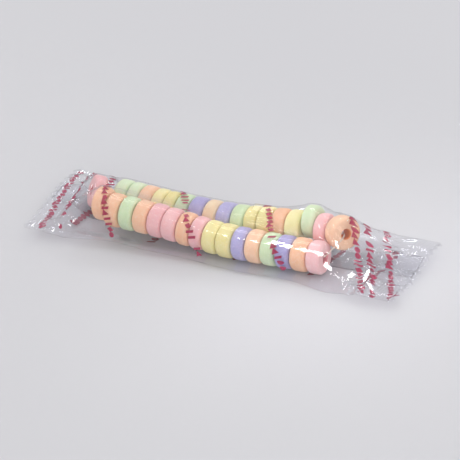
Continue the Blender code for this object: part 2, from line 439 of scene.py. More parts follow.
@dataclass
class NecklaceLayout:
    """The thread's route through the bag: the front row, the turn, the back row and the end bead."""

    bead_radius: float = 5.2 * MM
    row_spacing: float = 10.4 * MM
    front_left_x: float = -38.1 * MM
    front_thicknesses_mm: tuple[float, ...] = (
        4.9, 4.8, 5.0, 4.9, 5.1, 4.5, 4.4, 4.8, 5.2, 4.6, 5.1, 5.0, 5.0, 5.4, 5.0,
    )
    front_flavours: str = "OGOPPOPYYLOGLOP"
    back_left_x: float = -37.1 * MM
    back_thicknesses_mm: tuple[float, ...] = (
        4.3, 4.7, 4.2, 4.2, 4.7, 5.1, 4.7, 5.1, 4.8, 4.5, 4.7, 4.9, 5.1, 4.5, 4.4,
    )
    back_flavours: str = "GOYYGLCLGYYOYGP"
    slipped_back_bead: int = 13
    slip: Vector = field(default_factory=lambda: Vector((0.0, 1.4, 1.6)) * MM)
    left_turn: tuple[tuple[tuple[float, float, float], float, float], ...] = (
        ((-40.6, -4.9, 9.4), 180.0, 0.0),
        ((-48.2, 3.9, 6.6), 34.0, -25.0),
        ((-39.6, 5.8, 5.5), -4.0, 0.0),
    )
    turn_thickness: float = 4.5 * MM
    turn_flavours: str = "OPG"
    turn_spread: float = 0.9 * MM
    turn_spread_start: float = -16.0 * MM
    turn_spread_full: float = -40.0 * MM
    end_centre: Vector = field(default_factory=lambda: Vector((37.6, 3.0, 10.1)) * MM)
    end_axis: Vector = field(default_factory=lambda: Vector((0.82, -0.53, 0.23)).normalized())
    end_thickness: float = 5.0 * MM
    end_flavour: Flavour = Flavour.ORANGE
    twist: float = math.radians(21.0)
    twist_reach: float = 30.0 * MM
    twist_blend: float = 0.05
    table_gap: float = 0.3 * MM
    bow: float = 0.9 * MM
    row_end: float = 40.0 * MM
    axis_step: float = 0.5 * MM

    def row_point(self, side: int, x: float) -> Vector:
        """Give the centre of a row at x.

        Args:
            side: -1 for the front row, +1 for the back row.
            x: the place along the bag.

        Returns:
            The thread's point there. One row is lifted over the other by the necklace's twist.
        """
        lean = self.twist * math.tanh(x / self.twist_reach)
        lift = 0.5 * (side * math.sin(lean) + math.hypot(math.sin(lean), self.twist_blend))
        turn_share = (self.turn_spread_start - x) / (self.turn_spread_start - self.turn_spread_full)
        spread = self.turn_spread * float(smooth(turn_share))
        y = side * (0.5 * self.row_spacing * math.cos(lean) + spread)
        y -= self.bow * (1.0 - (x / self.row_end) ** 2)
        return Vector((x, y, self.bead_radius + self.table_gap + self.row_spacing * lift))

    def row_axis(self, side: int, x: float) -> Vector:
        """Give the thread's direction along a row at x: towards -X in front, +X at the back."""
        step = side * self.axis_step
        return (self.row_point(side, x + step) - self.row_point(side, x - step)).normalized()

    def row(self, side: int) -> list[BeadPlace]:
        """Place the beads of one row.

        Args:
            side: -1 for the front row, +1 for the back row.

        Returns:
            The beads from left to right.
        """
        in_front = side < 0
        x = self.front_left_x if in_front else self.back_left_x
        thicknesses = self.front_thicknesses_mm if in_front else self.back_thicknesses_mm
        flavours = self.front_flavours if in_front else self.back_flavours
        beads = []
        for thickness, letter in zip(thicknesses, flavours):
            middle = x + 0.5 * thickness * MM
            x += thickness * MM
            centre, axis = self.row_point(side, middle), self.row_axis(side, middle)
            beads.append(BeadPlace(centre, axis, thickness * MM, Flavour(letter)))
        return beads

    def turn(self) -> list[BeadPlace]:
        """Place the beads of the fold at the left.

        Returns:
            The beads from the front row's end to the back row's.
        """
        beads = []
        for (centre, heading, pitch), letter in zip(self.left_turn, self.turn_flavours):
            heading, pitch = math.radians(heading), math.radians(pitch)
            level = math.cos(pitch)
            axis = Vector((level * math.cos(heading), level * math.sin(heading), math.sin(pitch)))
            beads.append(BeadPlace(Vector(centre) * MM, axis, self.turn_thickness, Flavour(letter)))
        return beads

    def places(self) -> list[BeadPlace]:
        """Place every bead, in the thread's order from the front right.

        Returns:
            Front row right to left, the turn, back row left to right, and the raised end bead.
        """
        back = self.row(1)
        slipped = back[self.slipped_back_bead]
        back[self.slipped_back_bead] = replace(slipped, centre=slipped.centre + self.slip)
        end = BeadPlace(self.end_centre, self.end_axis, self.end_thickness, self.end_flavour)
        return self.row(-1)[::-1] + self.turn() + back + [end]


def join(batch: bmesh.types.BMesh, part: bmesh.types.BMesh, matrix: Matrix) -> None:
    """Set a part in its place and join it to a batch.

    Args:
        batch: the bmesh that takes it.
        part: the part, which is freed.
        matrix: the part's place.
    """
    bmesh.ops.transform(part, matrix=matrix, verts=part.verts)
    loose = bpy.data.meshes.new("loose")
    part.to_mesh(loose)
    part.free()
    batch.from_mesh(loose)
    bpy.data.meshes.remove(loose)


@dataclass
class SugarBatch:
    """The beads of one colour in one bmesh, with the values that their vertices carry."""

    mesh: bmesh.types.BMesh = field(default_factory=bmesh.new)
    shades: list[float] = field(default_factory=list)
    bore_shade_mask: list[float] = field(default_factory=list)


@dataclass
class SugarBeads:
    """The ring-shaped beads, one mesh for each colour of sugar."""

    layout: NecklaceLayout
    rim: float = 1.15 * MM
    hole_radius: float = 1.45 * MM
    hole_rim: float = 0.35 * MM
    bulge: float = 0.12 * MM
    gap: float = 0.26 * MM
    steps: int = 56
    rim_segments: int = 6
    hole_rim_segments: int = 3
    wall_cuts: int = 2
    face_cuts: int = 3
    lump_size: float = 3.2 * MM
    lump_height: float = 0.06 * MM
    grain_size: float = 0.8 * MM
    grain_height: float = 0.03 * MM
    noise_reach: float = 50.0
    radius_errors_mm: tuple[float, float] = (-0.1, 0.03)
    shade_range: tuple[float, float] = (-0.25, 0.3)
    bore_shade_share: float = 0.7
    tilt: float = math.radians(0.8)
    seed: int = 7

    def section(self, thickness: float, radius: float) -> list[tuple[float, float]]:
        """List the outline of a ring cut through its axis.

        Args:
            thickness: the ring's height along its axis.
            radius: its outer radius.

        Returns:
            Radius and height of each point, from the lower outer rim round by way of the hole. The
            outer wall bulges a little, as pressed sugar does.
        """
        half = 0.5 * thickness
        corners = (
            (radius, -half, self.rim, self.rim_segments, self.wall_cuts),
            (radius, half, self.rim, self.rim_segments, self.face_cuts),
            (self.hole_radius, half, self.hole_rim, self.hole_rim_segments, self.wall_cuts),
            (self.hole_radius, -half, self.hole_rim, self.hole_rim_segments, self.face_cuts),
        )
        arcs = []
        for number, (corner_x, corner_z, rim, segments, _) in enumerate(corners):
            x = corner_x + (rim if corner_x < radius else -rim)
            z = corner_z - math.copysign(rim, corner_z)
            start = 0.5 * math.pi * (number - 1)
            turns = [start + 0.5 * math.pi * step / segments for step in range(segments + 1)]
            arcs.append([
                np.array((x + rim * math.cos(turn), z + rim * math.sin(turn))) for turn in turns
            ])
        points = []
        for arc, following, (_, _, _, _, cuts) in zip(arcs, arcs[1:] + arcs[:1], corners):
            shares = [cut / (cuts + 1) for cut in range(1, cuts + 1)]
            points += arc + [blend(arc[-1], following[0], share) for share in shares]
        wall = 0.5 * (radius + self.hole_radius)
        swell = [self.bulge * (1.0 - (z / half) ** 2) if x > wall else 0.0 for x, z in points]
        return [(x + out, z) for (x, z), out in zip(points, swell)]

    def ring(self, thickness: float, radius: float) -> bmesh.types.BMesh:
        """Spin one ring's section about Z.

        Args:
            thickness: the ring's height along its axis.
            radius: its outer radius.

        Returns:
            A closed bmesh, centred on the origin.
        """
        mesh = bmesh.new()
        verts = [mesh.verts.new((x, 0.0, z)) for x, z in self.section(thickness, radius)]
        edges = [mesh.edges.new(pair) for pair in zip(verts, verts[1:] + verts[:1])]
        bmesh.ops.spin(
            mesh, geom=verts + edges, cent=(0.0, 0.0, 0.0), axis=(0.0, 0.0, 1.0), dvec=(0.0, 0.0, 0.0),
            angle=math.tau, steps=self.steps, use_merge=True,
        )
        bmesh.ops.recalc_face_normals(mesh, faces=mesh.faces[:])
        return mesh

    def roughen(self, mesh: bmesh.types.BMesh, shift: Vector) -> None:
        """Press the unevenness of real sugar into a ring.

        Args:
            mesh: the ring, still about the origin.
            shift: where in the noise this ring lies, so that no two are alike.
        """
        mesh.normal_update()
        for vert in mesh.verts:
            lump = noise.noise(vert.co / self.lump_size + shift)
            grain = noise.noise(vert.co / self.grain_size + shift)
            vert.co += vert.normal * (self.lump_height * lump + self.grain_height * grain)

    def add_bead(self, batch: SugarBatch, place: BeadPlace, rng: random.Random) -> None:
        """Make one bead, a little off in size, form, tilt and shade, and join it to its batch.

        Args:
            batch: the beads of its colour.
            place: where it sits.
            rng: the source of its differences.
        """
        radius = self.layout.bead_radius - self.bulge + rng.uniform(*self.radius_errors_mm) * MM
        ring = self.ring(place.thickness - self.gap, radius)
        self.roughen(ring, Vector([rng.uniform(0.0, self.noise_reach) for _ in range(3)]))
        # Vertices in the hole and on most of its rim are marked for the hole's painted shade.
        in_hole = self.hole_radius + self.bore_shade_share * self.hole_rim
        batch.bore_shade_mask += [float(vert.co.xy.length < in_hole) for vert in ring.verts]
        wobble = Quaternion((1.0, 0.0, 0.0), rng.uniform(-self.tilt, self.tilt))
        wobble @= Quaternion((0.0, 0.0, 1.0), rng.uniform(0.0, math.tau))
        batch.shades += [rng.uniform(*self.shade_range)] * len(ring.verts)
        join(batch.mesh, ring, place.matrix(wobble))

    def build(self) -> list[bpy.types.Object]:
        """Build every bead and join those of one colour.

        Returns:
            One object for each colour, riding on the bag's body.
        """
        rng = random.Random(self.seed)
        batches = {flavour: SugarBatch() for flavour in Flavour}
        for place in self.layout.places():
            self.add_bead(batches[place.flavour], place, rng)
        pieces = []
        for sugar in SUGARS:
            batch = batches[sugar.flavour]
            piece = link_piece(batch.mesh, f"sugar_beads_{sugar.flavour.name.lower()}", sugar.material())
            for attribute, values in (("bead_shade", batch.shades), ("bead_bore_shade", batch.bore_shade_mask)):
                layer = piece.data.attributes.new(attribute, "FLOAT", "POINT")
                layer.data.foreach_set("value", values)
            pieces.append(dress(piece, stands_for=True))
        return pieces

    def swollen_tree(self, clearance: float) -> BVHTree:
        """Give a search tree of the beads grown by a clearance, which the film is laid over.

        Args:
            clearance: how far every surface stands off the bead.

        Returns:
            A tree of the plain rings.
        """
        batch = bmesh.new()
        for place in self.layout.places():
            ring = self.ring(place.thickness + 2.0 * clearance, self.layout.bead_radius + clearance)
            join(batch, ring, place.matrix(Quaternion()))
        tree = BVHTree.FromBMesh(batch)
        batch.free()
        return tree


@dataclass
class ElasticThread:
    """The covered elastic that runs through every bead and closes the loop at the right end."""

    layout: NecklaceLayout
    beads: SugarBeads
    radius: float = 0.19 * MM
    slack: float = 0.06 * MM
    hole_share: float = 0.3
    samples: int = 4
    roundness: int = 3
    curve_order: int = 3

    def mouth(self, place: BeadPlace, outward: Vector, goal: Vector, from_axis: float) -> Vector:
        """Find the thread's point on a bead's face, on its way from the hole to a goal.

        Args:
            place: the bead.
            outward: the direction that the face looks in.
            goal: the point that the thread runs to.
            from_axis: the distance from the hole's middle.

        Returns:
            The point where the thread's middle lies on the face.
        """
        face = place.centre + outward * 0.5 * (place.thickness - self.beads.gap)
        way = goal - face
        way -= outward * way.dot(outward)
        return face + way.normalized() * from_axis + outward * (self.radius + self.slack)

    def route(self) -> list[Vector]:
        """List the points that the thread passes.

        Returns:
            A closed loop of points through the beads' holes.
        """
        places = self.layout.places()
        points = []
        for place in places:
            inward = place.axis * self.hole_share * place.thickness
            points += [place.centre - inward, place.centre + inward]
        end, first = places[-1], places[0]
        in_hole = self.beads.hole_radius - self.radius
        on_rim = self.layout.bead_radius - self.beads.rim
        leave = self.mouth(end, end.axis, first.centre, in_hole)
        over = self.mouth(end, end.axis, first.centre, on_rim)
        enter = self.mouth(first, -first.axis, over, in_hole)
        return points + [leave, over, over.lerp(enter, 0.5), enter]

    def tube(self) -> bmesh.types.BMesh:
        """Bend a smooth round tube along the route.

        Returns:
            The tube's bmesh.
        """
        points = self.route()
        curve = bpy.data.curves.new("elastic_thread", "CURVE")
        curve.dimensions = "3D"
        curve.bevel_depth = self.radius
        curve.bevel_resolution = self.roundness
        curve.resolution_u = self.samples
        spline = curve.splines.new("NURBS")
        spline.points.add(len(points) - 1)
        for point, place in zip(spline.points, points):
            point.co = (*place, 1.0)
        spline.order_u = self.curve_order
        spline.use_cyclic_u = True
        bent = bpy.data.objects.new("elastic_tube", curve)
        bpy.context.scene.collection.objects.link(bent)
        graph = bpy.context.evaluated_depsgraph_get()
        loose = bpy.data.meshes.new_from_object(bent.evaluated_get(graph))
        bpy.data.objects.remove(bent)
        mesh = bmesh.new()
        mesh.from_mesh(loose)
        bpy.data.meshes.remove(loose)
        return mesh

    def build(self) -> bpy.types.Object:
        """Build the thread.

        Returns:
            The thread, riding on the bag's body.
        """
        mesh = self.tube()
        bmesh.ops.recalc_face_normals(mesh, faces=mesh.faces[:])
        return dress(link_piece(mesh, "elastic_thread", CoveredElastic().material()))


def turned(x: np.ndarray, y: np.ndarray, heading: float) -> tuple[np.ndarray, np.ndarray]:
    """Split distances in x and y into those along a heading and those to its left."""
    cosine, sine = math.cos(heading), math.sin(heading)
    return x * cosine + y * sine, y * cosine - x * sine


@dataclass(frozen=True)
class Crease:
    """One pinched fold in the film: its middle, heading, length, flank widths and height."""

    x: float
    y: float
    heading: float
    length: float
    left: float
    right: float
    height: float
    sharpness: float = 1.25

    def rise(self, x: np.ndarray, y: np.ndarray) -> np.ndarray:
        """Give how far the fold lifts the film at each point.

        Args:
            x: places along the bag.
            y: places across it.

        Returns:
            The rise, a sharp ridge that dies out along its length and down both flanks.
        """
        along, across = turned(x - self.x, y - self.y, self.heading)
        along /= 0.5 * self.length
        width = np.where(across > 0.0, self.left, self.right)
        ridge = np.clip(1.0 - np.abs(across) / width, 0.0, 1.0) ** self.sharpness
        return self.height * ridge * np.clip(1.0 - along * along, 0.0, 1.0)


@dataclass(frozen=True)
class CreaseField:
    """A seeded set of folds that run out from a focus, such as the last bead, towards a seal.

    Its places, lengths, widths and height are in millimetres.
    """

    centre: tuple[float, float]
    spread: tuple[float, float]
    focus: tuple[float, float]
    count: int
    height: float
    seed: int
    stray: float = 0.35
    scatter: float = 0.25
    sizes: tuple[float, float] = (0.5, 1.0)
    lengths: tuple[float, float] = (7.0, 24.0)
    widths: tuple[float, float] = (0.9, 3.2)

    def folds(self) -> list[Crease]:
        """Draw the folds.

        Returns:
            The folds: most point away from the focus, and the rest cross them at random.
        """
        rng = random.Random(self.seed)
        made = []
        for _ in range(self.count):
            x = self.centre[0] * MM + rng.uniform(-1.0, 1.0) * (self.spread[0] * MM)
            y = self.centre[1] * MM + rng.uniform(-1.0, 1.0) * (self.spread[1] * MM)
            heading = math.atan2(y - self.focus[1] * MM, x - self.focus[0] * MM)
            if rng.random() < self.stray:
                heading = rng.uniform(0.0, math.pi)
            else:
                heading += rng.gauss(0.0, self.scatter)
            size = rng.uniform(*self.sizes)
            length = blend(*self.lengths, rng.random()) * size * MM
            left = rng.uniform(*self.widths) * size * MM
            right = rng.uniform(*self.widths) * size * MM
            height = self.height * MM * size * rng.choice((-1.0, 1.0))
            made.append(Crease(x, y, heading, length, left, right, height))
        return made

    def rise(self, x: np.ndarray, y: np.ndarray) -> np.ndarray:
        """Give how far the folds lift the film together at each point."""
        return total_rise(self.folds(), x, y)


def total_rise(folds: Iterable[Union[Crease, CreaseField]], x: np.ndarray, y: np.ndarray) -> np.ndarray:
    """Add up how far folds, or whole fields of them, lift the film at each point."""
    return sum((fold.rise(x, y) for fold in folds), np.zeros_like(x))


def long_fold(
    x: float, y: float, degrees: float, length: float, left: float, right: float, height: float,
) -> Crease:
    """Make one fold from millimetres and degrees."""
    return Crease(x * MM, y * MM, math.radians(degrees), length * MM, left * MM, right * MM, height * MM)


LONG_FOLDS = (
    long_fold(50.5, -11.5, 96.0, 15.0, 0.7, 1.6, 1.1),
    long_fold(49.0, -5.5, -24.0, 20.0, 0.8, 1.4, 1.0),
    long_fold(50.0, 5.0, 14.0, 22.0, 1.2, 0.8, 0.9),
    long_fold(47.0, -12.0, -34.0, 16.0, 1.0, 0.7, 0.8),
    long_fold(-56.0, -3.0, 24.0, 18.0, 0.7, 1.5, 0.9),
    long_fold(-55.0, 7.0, -28.0, 18.0, 1.3, 0.7, 0.8),
    long_fold(-57.0, -11.0, 48.0, 12.0, 0.8, 1.2, 0.8),
)
# Both films share these where they lie together, at the ends.
SHARED_FIELDS = (
    CreaseField((-56.0, 0.0), (8.0, 16.0), (-44.0, 1.0), 38, 0.95, 3),
    CreaseField((54.0, 0.0), (10.0, 16.0), (36.0, 0.0), 46, 1.1, 5),
)
# The upper film's own, where it spans air: left, right, front, back and the valley between the rows.
UPPER_FIELDS = (
    CreaseField((-54.0, 0.0), (9.0, 15.0), (-43.0, 1.0), 44, 0.6, 11),
    CreaseField((46.0, 0.0), (14.0, 15.0), (33.0, 0.0), 56, 0.7, 13),
    CreaseField((0.0, -12.0), (46.0, 2.5), (0.0, 40.0), 40, 0.3, 17),
    CreaseField((0.0, 11.0), (46.0, 2.5), (0.0, -40.0), 40, 0.3, 19),
    CreaseField((0.0, -0.9), (40.0, 1.5), (-90.0, 0.0), 24, 0.22, 23),
)
# The lower film's own: at its ends, and shallow ones where it lies on the table.
LOWER_END_FIELDS = (
    CreaseField((-54.0, 0.0), (9.0, 15.0), (-43.0, 1.0), 30, 0.4, 29),
    CreaseField((50.0, 0.0), (12.0, 15.0), (33.0, 0.0), 36, 0.4, 31),
)
TABLE_FIELD = CreaseField((0.0, 0.0), (50.0, 11.0), (-200.0, 0.0), 70, 0.07, 37)


@dataclass(frozen=True)
class TautFacet:
    """A flat place in the upper film, stretched between two folds, that shines as one patch."""

    middle: Vector
    heading: float
    length: float
    width: float
    normal: Vector
    edge: float = 0.35 * MM
    lift: float = 0.15 * MM

    def inside(self, x: np.ndarray, y: np.ndarray) -> np.ndarray:
        """Give how far each point is inside the flat place.

        Args:
            x: places along the bag.
            y: places across it.

        Returns:
            1 within it, 0 past its soft edge.
        """
        along, across = turned(x - self.middle.x, y - self.middle.y, self.heading)
        past = np.maximum(np.abs(along) - 0.5 * self.length, np.abs(across) - 0.5 * self.width)
        return smooth(1.0 - past / self.edge)

    def plane(self, x: np.ndarray, y: np.ndarray) -> np.ndarray:
        """Give the height of the flat place, carried on past its edge."""
        fall = (x - self.middle.x) * self.normal.x + (y - self.middle.y) * self.normal.y
        return self.middle.z - fall / self.normal.z

    def stretch(self, x: np.ndarray, y: np.ndarray, film: np.ndarray, lowest: np.ndarray) -> np.ndarray:
        """Draw a film flat over this place.

        Args:
            x: the film's places along the bag.
            y: its places across it.
            film: its heights.
            lowest: the heights of what it may touch.

        Returns:
            The heights, with the flat place laid through the film's mean height there.
        """
        inside = self.inside(x, y)
        mean = float(np.sum(inside * (film - self.plane(x, y))) / np.sum(inside))
        return blend(film, np.maximum(self.plane(x, y) + mean + self.lift, lowest), inside)


def facet(
    middle: tuple[float, float, float], degrees: float, length: float, width: float, normal: Vector,
) -> TautFacet:
    """Make a flat place from millimetres and degrees."""
    return TautFacet(Vector(middle) * MM, math.radians(degrees), length * MM, width * MM, normal)


STREAK = facet((28.5, -8.65, 10.0), -1.0, 18.0, 1.1, Vector((0.026, -0.61, 0.79)))
END_BLOB = facet((38.9, -3.4, 10.5), -40.0, 2.2, 1.5, Vector((0.28, -0.54, 0.79)))
LAST_BLOB = facet((39.4, -10.8, 7.0), -8.0, 3.4, 1.4, Vector((0.16, -0.74, 0.65)))
BACK_VEIL = facet((11.5, 3.8, 12.2), 2.0, 9.0, 2.8, Vector((0.02, -0.26, 0.96)))

FLANK_HEIGHT_MM = 3.5
RIGHT_FLANK = Vector((0.24, -0.20, 0.95))
LEFT_FLANK = Vector((-0.22, -0.20, 0.95))


def flank(x: float, y: float, degrees: float, length: float, width: float) -> TautFacet:
    """Make one bright fold side at an end of the bag, from millimetres and degrees."""
    normal = RIGHT_FLANK if x > 0.0 else LEFT_FLANK
    return facet((x, y, FLANK_HEIGHT_MM), degrees, length, width, normal)


END_FLANKS = (
    flank(51.4, -10.8, -82.0, 9.4, 1.7),
    flank(54.5, -13.0, -36.0, 5.6, 1.2),
    flank(47.2, -10.8, 64.0, 3.5, 1.1),
    flank(44.0, -12.6, -20.0, 5.0, 0.8),
    flank(52.6, 3.4, 14.0, 4.5, 0.8),
    flank(-55.0, -2.5, 26.0, 5.0, 0.9),
    flank(-52.5, 8.5, -30.0, 4.5, 0.8),
    flank(-51.5, -10.5, 60.0, 4.5, 0.8),
)


@dataclass(frozen=True)
class EndEasing:
    """Where the bag's middle passes into its ends: start and run on each side, in millimetres."""

    left_start: float
    left_run: float
    right_start: float
    right_run: float

    def share(self, x: np.ndarray) -> np.ndarray:
        """Give how far each x is into an end: 0 in the middle, 1 past either run."""
        left = smooth((-self.left_start * MM - x) / (self.left_run * MM))
        return np.maximum(left, smooth((x - self.right_start * MM) / (self.right_run * MM)))


@dataclass(frozen=True)
class Wave:
    """A slow wave across a seal: its height, its turn from middle to edge and its angle at the middle."""

    height: float
    turn: float
    start: float

    def at(self, across: np.ndarray) -> np.ndarray:
        """Give the wave's rise at each place, from -1 to 1 across the seal."""
        return self.height * np.sin(self.turn * across + self.start)


@dataclass
class Membrane:
    """A film's heights over a grid, stretched over what lies under it.

    It is pulled harder along the bag than across it, so it bridges from bead to bead in nearly
    straight lines. It is held at the grid's border, where it is joined to the lower film.
    """

    x: np.ndarray
    y: np.ndarray
    floor: np.ndarray
    lowest: np.ndarray
    cling: np.ndarray
    lengthwise_pull: float = 16.0
    passes: tuple[tuple[int, int], ...] = ((8, 300), (4, 300), (2, 300), (1, 260))

    def thinned(self, stride: int) -> "Membrane":
        """Take one point of every so many, both ways."""
        part = (slice(None, None, stride), slice(None, None, stride))
        names = ("x", "y", "floor", "lowest", "cling")
        return replace(self, **{name: getattr(self, name)[part] for name in names})

    def refined(self, height: np.ndarray) -> np.ndarray:
        """Spread the heights of a grid with twice these steps over this one.

        Args:
            height: the coarser grid's heights.

        Returns:
            Heights for this grid, with the new points halfway between the old ones.
        """
        fine = np.zeros(self.x.shape)
        fine[::2, ::2] = height
        fine[1::2, ::2] = 0.5 * (height[:-1] + height[1:])
        fine[:, 1::2] = 0.5 * (fine[:, :-1:2] + fine[:, 2::2])
        return fine

    def settle(self, height: np.ndarray, rounds: int) -> np.ndarray:
        """Even the film out without passing below what it may touch.

        Args:
            height: the heights to start from.
            rounds: how often each point is set to its neighbours' mean.

        Returns:
            The settled heights.
        """
        along = self.lengthwise_pull / np.square(self.x[2:, 1:-1] - self.x[1:-1, 1:-1])
        across = 1.0 / np.square(self.y[1:-1, 2:] - self.y[1:-1, 1:-1])
        film = np.maximum(height, self.lowest)
        for border in (0, -1):
            film[border] = self.floor[border]
            film[:, border] = self.floor[:, border]
        for _ in range(rounds):
            pull = along * (film[2:, 1:-1] + film[:-2, 1:-1])
            pull += across * (film[1:-1, 2:] + film[1:-1, :-2])
            even = (pull - self.cling[1:-1, 1:-1]) / (2.0 * (along + across))
            film[1:-1, 1:-1] = np.maximum(even, self.lowest[1:-1, 1:-1])
        return film

    def stretch(self) -> np.ndarray:
        """Stretch the film, from a coarse grid to the full one.

        Returns:
            Its heights.
        """
        height = None
        for stride, rounds in self.passes:
            grid = self.thinned(stride)
            height = grid.settle(grid.lowest if height is None else grid.refined(height), rounds)
        return height


@dataclass
class FilmBag:
    """The clear film tube, drawn tight over the beads and crimped shut at both ends."""

    layout: NecklaceLayout
    beads: SugarBeads
    length: float = 128.0 * MM
    seal_width: float = 34.0 * MM
    waist_width: float = 27.0 * MM
    flare: EndEasing = EndEasing(28.0, 26.0, 24.0, 32.0)
    edge_wave: float = 0.45 * MM
    edge_wave_reach: float = 5.3 * MM
    seal_length: float = 8.0 * MM
    seal_edge: float = 1.6 * MM
    left_seal_height: float = 4.0 * MM
    left_seal_wave: Wave = Wave(0.7 * MM, 3.4, 0.6)
    right_seal_height: float = 2.6 * MM
    right_seal_wave: Wave = Wave(0.98 * MM, 4.2, -0.9)
    ribs: int = 8
    rib_depth: float = 0.17 * MM
    rib_steps: int = 4
    teeth: int = 12
    tooth_depth: float = 1.3 * MM
    tooth_reach: float = 2.4 * MM
    strips: int = 120
    body_steps: int = 288
    clearance: float = 0.24 * MM
    film_gap: float = 0.14 * MM
    table_gap: float = 0.14 * MM
    under_bead_gap: float = 0.05 * MM
    base_height: float = 0.22 * MM
    base_half_width: float = 6.2 * MM
    base_ends: EndEasing = EndEasing(48.0, 8.0, 38.0, 16.0)
    wing_lift: float = 0.7 * MM
    raised_wing_lift: float = 2.4 * MM
    side_cling: float = 0.26
    valley_cling: float = 0.10
    valley_half_width: float = 6.5 * MM
    valley_edge: float = 2.0 * MM
    left_cling: float = 0.16
    left_cling_start: float = -44.0 * MM
    left_cling_run: float = 5.0 * MM
    right_cling: float = 0.07
    right_cling_start: float = 12.0 * MM
    right_cling_run: float = 6.0 * MM
    ray_start: float = 0.1
    fold_ends: EndEasing = EndEasing(50.0, 7.0, 44.0, 9.0)
    lower_fold_ends: EndEasing = EndEasing(46.0, 6.0, 40.0, 8.0)
    seal_fold_share: float = 0.45
    close_fold_share: float = 0.35
    open_depth: float = 1.2 * MM
    slack_full: float = 1.3 * MM
    taut_slack: float = 0.12
    least_slack: float = 0.02
    lower_slack: float = 0.6
    sheet_step: float = 1.0 * MM

    def half_width(self, x: np.ndarray) -> np.ndarray:
        """Give half the bag's width: waisted along the rows, full width at the seals.

        Args:
            x: places along the bag.

        Returns:
            The half width at each.
        """
        flare = self.flare.share(x)
        ripple = self.edge_wave * (1.0 - flare) * np.sin(x / self.edge_wave_reach)
        return 0.5 * blend(self.waist_width, self.seal_width, flare) + ripple

    def seal_height(self, x: np.ndarray, y: np.ndarray) -> np.ndarray:
        """Give the height of the film's lower face at a seal, which waves across its width.

        Args:
            x: places along the bag.
            y: places across it.

        Returns:
            The left seal's heights where x is negative, the right one's elsewhere.
        """
        across = y / (0.5 * self.seal_width)
        left = self.left_seal_height + self.left_seal_wave.at(across)
        return np.where(x < 0.0, left, self.right_seal_height + self.right_seal_wave.at(across))

    def lower_face(self, x: np.ndarray, y: np.ndarray) -> np.ndarray:
        """Give the lower film's height.

        Args:
            x: places along the bag.
            y: places across it.

        Returns:
            Heights: flat under the rows, lifted along the wings and at the seals.
        """
        across = smooth((np.abs(y) - self.base_half_width) / (self.half_width(x) - self.base_half_width))
        raised = smooth(np.sign(y) * x / self.layout.row_end)
        wing = self.base_height + across * blend(self.wing_lift, self.raised_wing_lift, raised)
        return blend(wing, self.seal_height(x, y), self.base_ends.share(x))

    def cast(self, tree: BVHTree, x: np.ndarray, y: np.ndarray, from_above: bool) -> np.ndarray:
        """Measure where rays dropped or raised at each point meet the beads.

        Args:
            tree: the grown beads.
            x: places along the bag.
            y: places across it.
            from_above: True to look down on the beads, False to look up at them.

        Returns:
            Heights, far below or above where there is no bead.
        """
        side = 1.0 if from_above else -1.0
        found = np.full(x.shape, -side * FAR)
        towards = Vector((0.0, 0.0, -side))
        for index in np.ndindex(x.shape):
            start = Vector((x[index], y[index], side * self.ray_start))
            hit = tree.ray_cast(start, towards)[0]
            if hit is not None:
                found[index] = hit.z
        return found

    def cling_at(self, x: np.ndarray, y: np.ndarray) -> np.ndarray:
        """Give how hard the film is drawn down.

        Args:
            x: places along the bag.
            y: places across it.

        Returns:
            The film's curvature where it is free, per millimetre.
        """
        between = smooth((self.valley_half_width - np.abs(y + self.layout.bow)) / self.valley_edge)
        cling = blend(self.side_cling, self.valley_cling, between)
        at_left = smooth((self.left_cling_start - x) / self.left_cling_run)
        at_right = smooth((x - self.right_cling_start) / self.right_cling_run)
        return blend(blend(cling, self.left_cling, at_left), self.right_cling, at_right)

    def body_stations(self) -> np.ndarray:
        """List the x of every cross-section between the seals."""
        inner = 0.5 * self.length - self.seal_length
        return np.linspace(-inner, inner, self.body_steps + 1)

    def stations(self) -> np.ndarray:
        """List the x of every cross-section, close together through the ribbed seals."""
        half = 0.5 * self.length
        seal = np.linspace(half - self.seal_length, half, self.ribs * self.rib_steps + 1)
        return np.concatenate((-seal[:0:-1], self.body_stations(), seal[1:]))

    def drape(self, spread: np.ndarray) -> tuple[np.ndarray, np.ndarray, np.ndarray]:
        """Stretch the upper film over the beads, between the seals.

        Args:
            spread: the places across the bag, from -1 to 1.

        Returns:
            The film's heights, those of what it may touch, and those of the beads' undersides.
        """
        tree = self.beads.swollen_tree(self.clearance)
        x, v = np.meshgrid(self.body_stations(), spread, indexing="ij")
        y = self.half_width(x) * v
        floor = self.lower_face(x, y) + self.film_gap
        lowest = np.maximum(self.cast(tree, x, y, from_above=True), floor)
        lowest = np.where(STREAK.inside(x, y) > 0.5, np.maximum(lowest, STREAK.plane(x, y)), lowest)
        film = Membrane(x, y, floor, lowest, self.cling_at(x, y) / MM).stretch()
        return film, lowest, self.cast(tree, x, y, from_above=False)

    def shape(self) -> None:
        """Work out the upper and lower film as grids of points, with their folds, ribs and teeth."""
        spread = np.linspace(-1.0, 1.0, self.strips + 1)
        x, v = np.meshgrid(self.stations(), spread, indexing="ij")
        y = self.half_width(x) * v
        bottom = self.lower_face(x, y)
        top = bottom + self.film_gap
        contact = top - FAR
        bead_bottom = np.full_like(top, FAR)
        first = self.ribs * self.rib_steps
        rows = slice(first, first + self.body_steps + 1)
        top[rows], contact[rows], bead_bottom[rows] = self.drape(spread)

        slack = np.clip((top - contact) / self.slack_full, 0.0, 1.0)
        end = self.fold_ends.share(x)
        top, bottom = self.fold(x, y, top, bottom, slack)
        bottom = np.minimum(bottom, bead_bottom - self.under_bead_gap)
        bottom = np.maximum(bottom, self.table_gap)
        top = np.maximum(top, bottom + self.film_gap)
        touch = np.maximum(contact, bottom + self.film_gap)
        for flat in (BACK_VEIL, END_BLOB, LAST_BLOB) + END_FLANKS:
            top = flat.stretch(x, y, top, touch)

